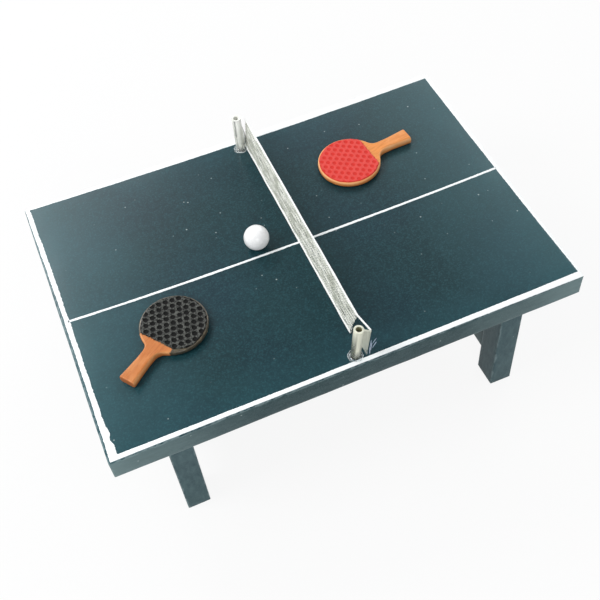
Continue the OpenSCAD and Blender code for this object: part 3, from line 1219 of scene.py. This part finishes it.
@dataclass
class LaceNet(SubAssembly):
    """The net: a woven strip between two dense edges, leaning with the front post."""

    # Where the strip's lowest line runs: to the right of the middle, and above the floor
    foot: tuple[float, float] = (2.75 * MM, 50.52 * MM)
    lean: float = math.radians(6)
    height: float = 13.4 * MM
    edge_height: float = 0.9 * MM
    edge_thickness: float = 0.5 * MM
    back: float = 49.3 * MM
    cut_top: float = -46.3 * MM
    cut_bottom: float = -43.2 * MM
    cut_corner: float = 0.3
    cut_under: float = 0.6 * MM
    # Where the top edge is tied out to the front post: off the strip's plane, and along it
    tie: tuple[float, float] = (1.35 * MM, -52.7 * MM)
    dense_rows: int = 1
    dense_pitch: float = 0.3 * MM
    open_rows: int = 16
    columns: int = 186
    thread: float = 0.33 * MM
    cross_thread: float = 0.12 * MM
    weave: float = 0.1 * MM
    drift: float = 0.42 * MM
    stitch: float = 1.05 * MM
    stitch_points: int = 8
    ripple: float = 0.16 * MM
    ripple_size: tuple[float, float] = (11 * MM, 6 * MM)
    # The lace thread is the darker copy with strong streaks of painted shade; the edge thread is a paler copy
    # with little of it
    mesh_thread: NetThread = NetThread(
        "lace_thread", (0.94, 0.95, 0.88, 1), (0.50, 0.52, 0.44, 1), streak=0.9)
    edge_thread: NetThread = NetThread(
        "lace_edge_thread", (0.98, 0.99, 0.97, 1), (0.86, 0.88, 0.86, 1))

    def __post_init__(self) -> None:
        """Works out the net's own frame, the band between its edges and the heights of its threads."""
        self.own = Matrix.Translation((self.foot[0], 0, self.foot[1])) @ Matrix.Rotation(self.lean, 4, "Y")
        self.band_low, self.band_high = self.edge_height, self.height - self.edge_height
        dense = [self.dense_pitch * (step + 0.5) for step in range(self.dense_rows)]
        low = self.band_low + self.dense_pitch * self.dense_rows
        high = self.band_high - self.dense_pitch * self.dense_rows
        spread = [mix(low, high, (step + 0.5) / self.open_rows) for step in range(self.open_rows)]
        upper = [self.band_high - step for step in reversed(dense)]
        self.rows = [*(self.band_low + step for step in dense), *spread, *upper]
        self.pitch = (self.back - self.cut_top) / self.columns

    def make(self) -> list[Piece]:
        """Returns:
            The lace, its top edge and its bottom edge.
        """
        edge = self.edge_thread.material()
        threads = [self.mesh_thread.material(), edge]
        lace = finished(self._lace(), "woven_lace", threads, Slot.LACE_MESH, "net_mesh")
        top = finished(self._edge(self.height - self.edge_height / 2, self.tie[1]), "stitched_top_edge",
                       [edge], Slot.LACE_CORD, "net_top_cord")
        bottom = finished(self._edge(self.edge_height / 2, self.cut_bottom), "stitched_bottom_edge",
                          [edge], Slot.LACE_CORD, "net_bottom_cord")
        return [lace, top, bottom]

    def _swell(self, along: float, up: float) -> float:
        """Returns how far the lace stands off its flat plane."""
        length, height = self.ripple_size
        return self.ripple * noise.noise(Vector((along / length, up / height, 2.0)))

    def _cut(self, up: float) -> float:
        """Returns where the lace was cut off at one height: upright at first, then slanting."""
        above = (up - self.band_low) / (self.band_high - self.band_low) - self.cut_corner
        return mix(self.cut_bottom - self.cut_under, self.cut_top, clamp(above / (1 - self.cut_corner)))

    def _lace(self) -> Mesh:
        """Weaves the threads that run along the net and across it.

        Returns:
            Their mesh.
        """
        work = bmesh.new()
        for row, up in enumerate(self.rows):
            self._long_thread(work, row, up)
        for column in range(1, self.columns):
            self._cross_thread(work, column)
        bmesh.ops.recalc_face_normals(work, faces=work.faces)
        return work

    def _long_thread(self, work: Mesh, row: int, up: float) -> None:
        """Adds one thread that runs the length of the net, from its cut end to the back post.

        Args:
            work: The mesh that takes the thread.
            row: The thread's number, from the lowest one.
            up: Its height.
        """
        is_dense = min(row, len(self.rows) - 1 - row) < self.dense_rows
        steps = int((self.back - self._cut(up)) / self.pitch - clamp(0.3 + wander(row, 0.8, 21)) * 1.4)
        start = self.back - steps * self.pitch
        half = self.thread / 2 * (1 + 0.3 * wander(row, 0.7, 22))
        drift, roundness = (0.1 * self.drift, 1.1) if is_dense else (self.drift, 0.6)

        def place(share: float, angle: float) -> Vector:
            """Works out a point of the thread.

            Args:
                share: Share of the length, from the front end.
                angle: Angle about its own middle line.

            Returns:
                The point.
            """
            along = mix(start, self.back, share)
            side = math.cos(math.pi * (along - self.cut_top) / self.pitch + math.pi * row)
            off = self._swell(along, up) + self.weave * side + roundness * half * math.cos(angle)
            wide = half * (1 + 0.3 * wander(along, 1.7 * MM, row + 0.4))
            height = up + drift * wander(along, 5 * MM, row) + wide * math.sin(angle)
            return self.own @ Vector((off, along, height))

        before = len(work.faces)
        loft(steps, 4, place, work)
        work.faces.ensure_lookup_table()
        for polygon in work.faces[before:]:
            # Painted light: the dense rows take the paler edge thread
            polygon.material_index = int(is_dense)

    def _cross_thread(self, work: Mesh, column: int) -> None:
        """Adds one thread that crosses the net from edge to edge, over and under the long ones.

        Args:
            work: The mesh that takes the thread.
            column: The thread's number, from the cut end.
        """
        along = self.cut_top + self.pitch * column
        low = next((up for up in self.rows if along > self._cut(up)), self.band_high - self.dense_pitch)
        stops = [low, *(up for up in self.rows if up > low + 0.1 * MM), self.band_high]
        crossed = len(self.rows) - len(stops) + 2
        thickness = 1 + 0.3 * wander(column, 0.7, 23) + 1.2 * max(0.0, wander(column, 0.6, 25))
        half = self.cross_thread / 2 * thickness
        shift = 0.3 * self.pitch * wander(column, 0.9, 24)

        def place(share: float, angle: float) -> Vector:
            """Works out a point of the thread.

            Args:
                share: Share of the length, from the front end.
                angle: Angle about its own middle line.

            Returns:
                The point.
            """
            stop = round(share * (len(stops) - 1))
            up = stops[stop]
            off = self._swell(along, up) - self.weave * math.cos(math.pi * (column + crossed + stop - 1))
            slid = along + (shift + 0.05 * MM * wander(up, 2.5 * MM, column))
            return self.own @ Vector((off + half * math.cos(angle), slid + half * math.sin(angle), up))

        loft(len(stops) - 1, 4, place, work)

    def _edge(self, middle: float, start: float) -> Mesh:
        """Sews one overcast edge of the net.

        Args:
            middle: Height of the edge's middle.
            start: Where the edge ends at the front.

        Returns:
            Its mesh.
        """
        steps = round((self.back - start) / (self.stitch / self.stitch_points))
        slope = self.tie[0] / (self.tie[1] - self.cut_top)

        def place(share: float, angle: float) -> Vector:
            """Works out a point of the edge.

            Args:
                share: Share of the length, from the front end.
                angle: Angle about its own middle line.

            Returns:
                The point.
            """
            along = mix(start, self.back, share)
            wrap = 1 - 0.13 * (0.5 + 0.5 * math.cos(2 * math.pi * along / self.stitch + angle))
            wrap *= 0.97 + 0.03 * wander(along, 3 * MM, middle / MM)
            if along < start + 0.25 * MM:
                wrap *= 0.75
            past = min(0.0, along - self.cut_top)
            off = slope * past + self._swell(along, middle) * float(along > self.cut_top)
            flat = math.copysign(abs(math.cos(angle)) ** 0.8, math.cos(angle))
            tall = math.copysign(abs(math.sin(angle)) ** 0.7, math.sin(angle))
            return self.own @ Vector((off + flat * wrap * self.edge_thickness / 2, along,
                                      middle + tall * wrap * self.edge_height / 2))

        work = loft(steps, 12, place)
        bmesh.ops.recalc_face_normals(work, faces=work.faces)
        return work


@dataclass
class Bat(SubAssembly):
    """A moulded bat that lies flat, with dimpled rubber on both faces."""

    name: str
    body: Body
    slot: Slot
    place: tuple[float, float]
    turn_deg: float
    wood: BatWood
    rubber: DimpledRubber
    radius: float = 11.2 * MM
    thickness: float = 1.9 * MM
    rubber_height: float = 0.35 * MM
    margin: float = 0.6 * MM
    chord: float = 7.9 * MM
    handle_end: float = 24.5 * MM
    neck_width: float = 4.4 * MM
    end_width: float = 5.8 * MM
    handle_thickness: float = 3.0 * MM
    fillet: float = 3.5 * MM
    # More straight cuts across the upper and lower rubber: the way each faces, and its distance
    corner_cuts: tuple[tuple[float, float], ...] = ()
    facets: int = 72
    uneven: float = 0.12 * MM
    ragged: float = 0.4 * MM
    ragged_over: float = 0.8 * MM
    rim_drop: float = 0.04 * MM
    skirt_spread: float = 1.012
    skirt_sink: float = 0.02 * MM
    # The wood left bare at the neck: where it ends along the bat, and half of its width
    bare: tuple[float, float] = (-8.15 * MM, 6.3 * MM)
    bare_middle: float = 0.7 * MM
    bare_from: float = -12 * MM
    rim_ease: float = 0.5 * MM
    handle_ease: float = 0.95 * MM
    end_ease: float = 0.45 * MM
    end_drop: float = 0.4 * MM
    end_taper: float = 0.07
    rise_between: tuple[float, float] = (8 * MM, 15 * MM)
    ease_between: tuple[float, float] = (12 * MM, 17 * MM)
    # Width and height of the painted highlight along the upper rim, and height of the painted shade on the
    # lower sides
    highlight_width: float = 0.55 * MM
    highlight_height: float = 0.6 * MM
    shade_height: float = 0.7 * MM
    cell_along: float = 3.52 * MM
    cell_across: float = 2.8 * MM
    cell_rows: int = 5
    pit_radius: float = 1.06 * MM
    pit_depth: float = 0.3 * MM
    # Rings of a dimple, from its rim: shares of its radius and of its depth
    pit_profile: tuple[tuple[float, float], ...] = ((1.0, 0.0), (0.94, -0.4), (0.8, -0.9), (0.4, -1.0))
    pit_inset: float = 0.05 * MM
    rings: int = 150
    sides: int = 88
    handle_share: float = 0.42

    def __post_init__(self) -> None:
        """Works out where the bat lies and where its blade runs into the handle."""
        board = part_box("table_top")[1].z
        turn = Matrix.Rotation(math.radians(self.turn_deg), 4, "Z")
        self.own = Matrix.Translation((*self.place, board)) @ turn
        self.middle = self.rubber_height + self.thickness / 2
        self.fillet_y = self.neck_width / 2 + self.fillet
        self.fillet_x = -math.sqrt((self.radius + self.fillet) ** 2 - self.fillet_y ** 2)
        self.touch_x = self.fillet_x * self.radius / (self.radius + self.fillet)

    def make(self) -> list[Piece]:
        """Builds the wood and both rubbers.

        Returns:
            The wood, the upper rubber and the lower rubber.
        """
        pieces = [finished(self._wood(), self.name + "_moulded_wood", [self.wood.material()], Slot.BAT_WOOD,
                           self.name + "_wood", body=self.body, smooth=60)]
        rubber = self.rubber.material()
        for face in Face:
            stem = f"{self.name}_{face.name.lower()}_"
            pieces.append(finished(self._rubber(face), stem + "dimpled_rubber", [rubber], self.slot,
                                   stem + "rubber", body=self.body, smooth=50))
        return pieces

    def _half_width(self, along: float) -> float:
        """Works out half of the bat's width.

        Args:
            along: Distance from the blade's middle; the handle lies towards negative values.

        Returns:
            Half of the width there.
        """
        if along > self.touch_x:
            return math.sqrt(max(0.0, self.radius ** 2 - along ** 2))
        if along > self.fillet_x:
            return self.fillet_y - math.sqrt(max(0.0, self.fillet ** 2 - (along - self.fillet_x) ** 2))
        share = clamp((self.fillet_x - along) / (self.handle_end + self.fillet_x))
        return mix(self.neck_width, self.end_width, share ** 1.4) / 2

    def _inside(self, along: float, across: float) -> float:
        """Works out how far inside the bat's outline a place lies.

        Args:
            along: Distance from the blade's middle, along the bat.
            across: Distance from the bat's middle line.

        Returns:
            Distance to the outline.
        """
        if along < self.fillet_x:
            return self._half_width(along) - abs(across)
        if along * self.fillet_y > self.fillet_x * abs(across):
            return self.radius - math.hypot(along, across)
        return math.hypot(along - self.fillet_x, abs(across) - self.fillet_y) - self.fillet

    def _along(self, share: float) -> float:
        """Spaces the rings of the wood, closer together at the blade's rim and at the handle's end.

        Args:
            share: Share of the rings, from the handle's end.

        Returns:
            Distance of that ring from the blade's middle.
        """
        if share < self.handle_share:
            eased_share = 1 - math.cos(math.pi / 2 * share / self.handle_share) ** 0.8
            return mix(-self.handle_end, self.touch_x, eased_share)
        blade_share = (share - self.handle_share) / (1 - self.handle_share)
        return self.radius * math.sin(mix(-math.asin(-self.touch_x / self.radius), math.pi / 2, blade_share))

    def _wood_point(self, share: float, angle: float) -> Vector:
        """Works out one point of the wood.

        Args:
            share: Share of the rings, from the handle's end.
            angle: The point's angle about the bat's long axis.

        Returns:
            The point.
        """
        along = self._along(share)
        across = self._half_width(along) * math.cos(angle)
        into_handle = smooth_step(-along, *self.rise_between)
        half_height = mix(self.thickness / 2, self.handle_thickness / 2, into_handle)
        ease = mix(self.rim_ease, self.handle_ease, smooth_step(-along, *self.ease_between))
        rise = half_height - ease * rounding(clamp(1 - self._inside(along, across) / ease))
        drop = rounding(clamp(1 - (along + self.handle_end) / self.end_ease))
        rise -= self.end_drop * drop
        across *= 1 - self.end_taper * drop
        upwards = math.sin(angle)
        if abs(upwards) < ON_AXIS:
            rise = 0.0
        height = mix(self.middle, self.handle_thickness / 2, into_handle) + math.copysign(rise, upwards)
        return self.own @ Vector((along, across, height))

    def _painted(self, at: Vector) -> float:
        """Returns how far past the bare wood at the neck a place of the blade lies."""
        past = max(at.x - self.bare[0], abs(at.y - self.bare_middle) - self.bare[1])
        return past if at.x > self.bare_from else -2 * MM

    def _wood(self) -> Mesh:
        """Shapes blade and handle in one smooth piece.

        Returns:
            Its mesh, with numbers for the painted highlight along its upper rim, for the painted shade on its
            lower sides together with the darker handle end, and for the painted blade.
        """
        work = outward(loft(self.rings, self.sides, self._wood_point))
        back = self.own.inverted()
        edge, end_grain_and_shade, painted = (work.verts.layers.float.new(n) for n in ("edge", "end_grain_and_shade", "painted"))
        for vertex in work.verts:
            at = back @ vertex.co
            # Painted highlight along the upper rim
            pale_and_highlight = clamp(1 - self._inside(at.x, at.y) / self.highlight_width)
            vertex[edge] = pale_and_highlight * clamp((at.z - self.middle) / self.highlight_height)
            # Painted shade on the lower sides; the handle's cut end is darker end grain
            is_end = float(at.x < -self.handle_end + 0.02 * MM)
            vertex[end_grain_and_shade] = max(is_end, clamp((self.middle - at.z) / self.shade_height + 0.15))
            vertex[painted] = self._painted(at)
        return work

    def _rubber(self, face: Face) -> Mesh:
        """Moulds the rubber of one face, with a dimple in every cell of a honeycomb.

        Args:
            face: The face that it covers.

        Returns:
            Its mesh, with a depth number that is 1 at the bottom of the dimples.
        """
        work = self._trimmed(self._honeycomb())
        depth = work.verts.layers.float.new("depth")
        for vertex in work.verts:
            vertex[depth] = clamp(-vertex.co.z / self.pit_depth)
        rim = [e for e in work.edges if e.is_boundary]
        skirt = bmesh.ops.extrude_edge_only(work, edges=rim)["geom"]
        for vertex in (g for g in skirt if isinstance(g, bmesh.types.BMVert)):
            vertex.co.x *= self.skirt_spread
            vertex.co.y *= self.skirt_spread
            vertex.co.z = -self.rubber_height - self.skirt_sink
        bmesh.ops.holes_fill(work, edges=[e for e in work.edges if e.is_boundary])
        outward(work)
        level = self.thickness + 2 * self.rubber_height if face is Face.UPPER else 0.0
        seat = self.own @ Matrix.Translation((0, 0, level)) @ Matrix.Diagonal((1, 1, face.value, 1))
        bmesh.ops.transform(work, matrix=seat, verts=work.verts)
        bmesh.ops.recalc_face_normals(work, faces=work.faces)
        return work

    def _honeycomb(self) -> Mesh:
        """Lays out a flat sheet of six-sided cells, each with a round dimple.

        Returns:
            Its mesh, smoothed.
        """
        work = bmesh.new()
        across = self.cell_across
        squash = (self.cell_along / 2) / (across * math.sin(math.radians(60)))
        turned = Matrix.Diagonal((squash, 1, 1, 1)) @ Matrix.Rotation(math.radians(30), 4, "Z")
        reach = math.ceil(self.radius / self.cell_along) + 1
        for column in range(-2 * reach, 2 * reach + 1):
            for row in range(-self.cell_rows, self.cell_rows + 1):
                spot = Vector((column * self.cell_along / 2, (row + 0.5 * (column % 2)) * across, 0))
                if spot.length < self.radius + across:
                    bmesh.ops.create_circle(work, cap_ends=True, segments=6, radius=across / math.sqrt(3),
                                            matrix=Matrix.Translation(spot) @ turned)
        bmesh.ops.remove_doubles(work, verts=work.verts, dist=0.05 * MM)
        cells = work.faces[:]
        for share, drop in self.pit_profile:
            bmesh.ops.inset_individual(work, faces=cells, thickness=self.pit_inset)
            for cell in cells:
                centre = cell.calc_center_median()
                for vertex in cell.verts:
                    away = vertex.co - centre
                    away.z = 0
                    vertex.co = Vector((centre.x, centre.y, 0)) + away.normalized() * share * self.pit_radius
                    vertex.co.z = drop * self.pit_depth
        return smoothed(work, 2)

    def _trimmed(self, sheet: Mesh) -> Mesh:
        """Cuts the sheet to the blade's outline, straight and ragged at the neck.

        Args:
            sheet: The sheet of cells.

        Returns:
            The same mesh.
        """
        cuts = [(2 * math.pi * (number + 0.5) / self.facets,
                 self.radius - self.margin + self.uneven * wander(number, 3, self.turn_deg))
                for number in range(self.facets)]
        for turn, distance in (*cuts, (math.pi, self.chord), *self.corner_cuts):
            away = Vector((math.cos(turn), math.sin(turn), 0))
            sliced(sheet, away * distance, away, dist=ON_PLANE, clear_outer=True)
        for vertex in (v for v in sheet.verts if v.is_boundary):
            if vertex.co.x < -self.chord + 0.01 * MM:
                vertex.co.x += self.ragged * wander(vertex.co.y, self.ragged_over, self.turn_deg)
            vertex.co.z = min(vertex.co.z, -self.rim_drop)
        return sheet


@dataclass
class Ball(SubAssembly):
    """The white ball, with a fine seam where its halves meet."""

    seam_depth: float = 0.03 * MM
    seam_width: float = 0.1 * MM
    seam_tilt: float = math.radians(24)
    profile_steps: int = 72
    turns: int = 96
    plastic: BallPlastic = BallPlastic()

    def make(self) -> list[Piece]:
        """Builds the ball by spinning half of its outline.

        Returns:
            The ball.
        """
        low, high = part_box("ball")
        centre, radius = (low + high) / 2, (high.z - low.z) / 2
        work = bmesh.new()
        outline = []
        for step in range(self.profile_steps + 1):
            up = math.pi * (step / self.profile_steps - 0.5)
            groove = self.seam_depth * math.exp(-(up * radius / self.seam_width) ** 2)
            reach = radius - groove
            outline.append(work.verts.new((reach * math.cos(up), 0, reach * math.sin(up))))
        edges = [work.edges.new(pair) for pair in zip(outline, outline[1:])]
        bmesh.ops.spin(work, geom=[*outline, *edges], cent=(0, 0, 0), axis=(0, 0, 1), angle=2 * math.pi,
                       steps=self.turns, use_merge=True)
        outward(work)
        seat = Matrix.Translation(centre) @ Matrix.Rotation(self.seam_tilt, 4, "X")
        bmesh.ops.transform(work, verts=work.verts, matrix=seat)
        return [finished(work, "moulded_ball", [self.plastic.material()], Slot.BALL_PLASTIC, "ball",
                         body=Body.BALL)]


def aimed(name: str, data: bpy.types.ID, place: Sequence[float], ahead: Vector, roll: float = 0.0) -> Piece:
    """Places a camera or a lamp that looks one way.

    Args:
        name: The object's name.
        data: The camera or the lamp.
        place: Where it stands.
        ahead: The way it looks.
        roll: How far it is turned about that line.

    Returns:
        The object.
    """
    thing = bpy.data.objects.new(name, data)
    bpy.context.scene.collection.objects.link(thing)
    thing.location = place
    thing.rotation_mode = "QUATERNION"
    thing.rotation_quaternion = ahead.to_track_quat("-Z", "Y") @ Quaternion((0, 0, 1), roll)
    return thing


@dataclass(frozen=True)
class SoftLamp:
    """A square lamp that looks at the middle of the table."""

    place: tuple[float, float, float]
    size: float
    power: float
    looks_at: tuple[float, float, float] = (0, 0, 0.05)

    def hang(self, name: str) -> None:
        """Hangs the lamp in the studio.

        Args:
            name: The lamp's name.
        """
        data = bpy.data.lights.new(name, "AREA")
        data.size, data.energy = self.size, self.power
        aimed(name, data, self.place, Vector(self.looks_at) - Vector(self.place))


@dataclass
class Studio:
    """The camera, the soft lights and a plain white floor."""

    camera_place: tuple[float, float, float] = (-61.99 * MM, -197.4 * MM, 295.7 * MM)
    azimuth: float = 0.3105
    elevation: float = 0.9326
    roll: float = -0.1096
    lens: float = 56.68
    room_colour: Colour = (0.94, 0.97, 1.0, 1)
    room_light: float = 0.36
    floor_half: float = 1.6
    floor_tones: tuple[Colour, Colour] = ((0.48, 0.48, 0.48, 1), (0.52, 0.52, 0.52, 1))
    floor_glow: float = 1.05
    floor_glow_share: float = 0.86
    lamps: tuple[SoftLamp, ...] = (
        SoftLamp((-0.24, 0.46, 0.50), 0.20, 1.1), SoftLamp((0.50, 0.36, 0.44), 0.30, 0.9),
        SoftLamp((-0.10, 0.60, 0.45), 0.30, 1.0), SoftLamp((0.35, 0.60, 0.45), 0.30, 0.6),
        SoftLamp((0.30, -0.38, 0.52), 0.36, 0.3), SoftLamp((-0.52, 0.02, 0.50), 0.30, 3.0),
        SoftLamp((-0.10, -0.60, 0.36), 0.30, 1.2))

    def make(self) -> None:
        """Sets up everything that isn't part of the object."""
        scene = bpy.context.scene
        scene.view_settings.view_transform = "Standard"
        self._camera(scene)
        self._world(scene)
        self._floor()
        for number, lamp in enumerate(self.lamps):
            lamp.hang(f"soft_lamp_{number}")

    def _camera(self, scene: bpy.types.Scene) -> None:
        """Places the camera above the front left corner.

        Args:
            scene: The scene that it shows.
        """
        data = bpy.data.cameras.new("camera")
        data.lens, data.sensor_width = self.lens, 36
        data.clip_start, data.clip_end = 0.01, 20
        level, down = math.cos(self.elevation), math.sin(self.elevation)
        ahead = Vector((math.sin(self.azimuth) * level, math.cos(self.azimuth) * level, -down))
        scene.camera = aimed("camera", data, self.camera_place, ahead, self.roll)

    def _world(self, scene: bpy.types.Scene) -> None:
        """Fills the room with even light, and shows white behind the table.

        Args:
            scene: The scene that it lights.
        """
        scene.world = bpy.data.worlds.new("studio")
        g = Graph(scene.world)
        light = g.add("Background", {"Color": self.room_colour, "Strength": self.room_light})
        shown = g.add("Background", {"Color": WHITE})
        seen = g.seen("Is Camera Ray", "Is Transmission Ray")
        g.show(g.add("MixShader", {0: seen, 1: light.outputs[0], 2: shown.outputs[0]}))

    def _floor(self) -> None:
        """Lays a white floor that keeps the table's soft shadow."""
        work = bmesh.new()
        bmesh.ops.create_grid(work, x_segments=1, y_segments=1, size=self.floor_half)
        mesh = bpy.data.meshes.new("floor")
        work.to_mesh(mesh)
        work.free()
        g = Graph(bpy.data.materials.new("floor_white"))
        matt = g.add("BsdfDiffuse", {"Color": g.blend(g.noise(2 * MM, 2), *self.floor_tones)}).outputs[0]
        glow = g.add("Emission", {"Color": WHITE, "Strength": self.floor_glow}).outputs[0]
        lit = g.add("MixShader", {0: self.floor_glow_share, 1: matt, 2: glow}).outputs[0]
        seen = g.seen("Is Camera Ray", "Is Glossy Ray", "Is Transmission Ray")
        g.show(g.add("MixShader", {0: seen, 1: matt, 2: lit}))
        mesh.materials.append(g.owner)
        floor = bpy.data.objects.new("floor", mesh)
        bpy.context.scene.collection.objects.link(floor)


def bats() -> list[Bat]:
    """Lays out the two bats.

    Returns:
        The black bat and the red one, at their places on the board.
    """
    black_turn, red_turn = 35.7, 186.0
    black_wood = BatWood("black_bat_wood_finish", math.radians(black_turn), (0.52, 0.170, 0.042, 1),
                         (0.38, 0.105, 0.023, 1), (0.74, 0.36, 0.140, 1),
                         blade_paint=(0.060, 0.050, 0.032, 1))
    # Each rubber's colours: its own, the webs' painted highlight and the pits' painted shade
    black_rubber = DimpledRubber("black_rubber_dimpled", (0.008, 0.009, 0.008, 1), (0.092, 0.096, 0.086, 1),
                                 (0.010, 0.010, 0.010, 1), roughness=0.38, gloss=0.24, grit=0.05 * MM,
                                 patchy=1.0)
    red_rubber = DimpledRubber("red_rubber_dimpled", (0.62, 0.045, 0.036, 1), (0.69, 0.066, 0.053, 1),
                               (0.58, 0.037, 0.030, 1), gloss=0.25, grit=0.03 * MM)
    black = Bat("black_bat", Body.BLACK_BAT, Slot.BLACK_RUBBER, (-46.9 * MM, -16.8 * MM), black_turn,
                black_wood, black_rubber, corner_cuts=((math.radians(-146.8), 9.75 * MM),))
    red = Bat("red_bat", Body.RED_BAT, Slot.RED_RUBBER, (33.1 * MM, 23.8 * MM), red_turn,
              BatWood("red_bat_wood_finish", math.radians(red_turn)), red_rubber,
              chord=8.3 * MM, pit_radius=0.98 * MM, pit_depth=0.15 * MM)
    return [black, red]


def main() -> None:
    """Builds every sub-assembly in order."""
    logging.basicConfig(level=logging.INFO, format="%(name)s: %(message)s")
    Studio().make()
    for part in (TableWoodwork(), PaintedLines(), NetPosts(), LaceNet(), *bats(), Ball()):
        log.info("%s: %d pieces", type(part).__name__, len(part.make()))


if __name__ == "__main__":
    main()
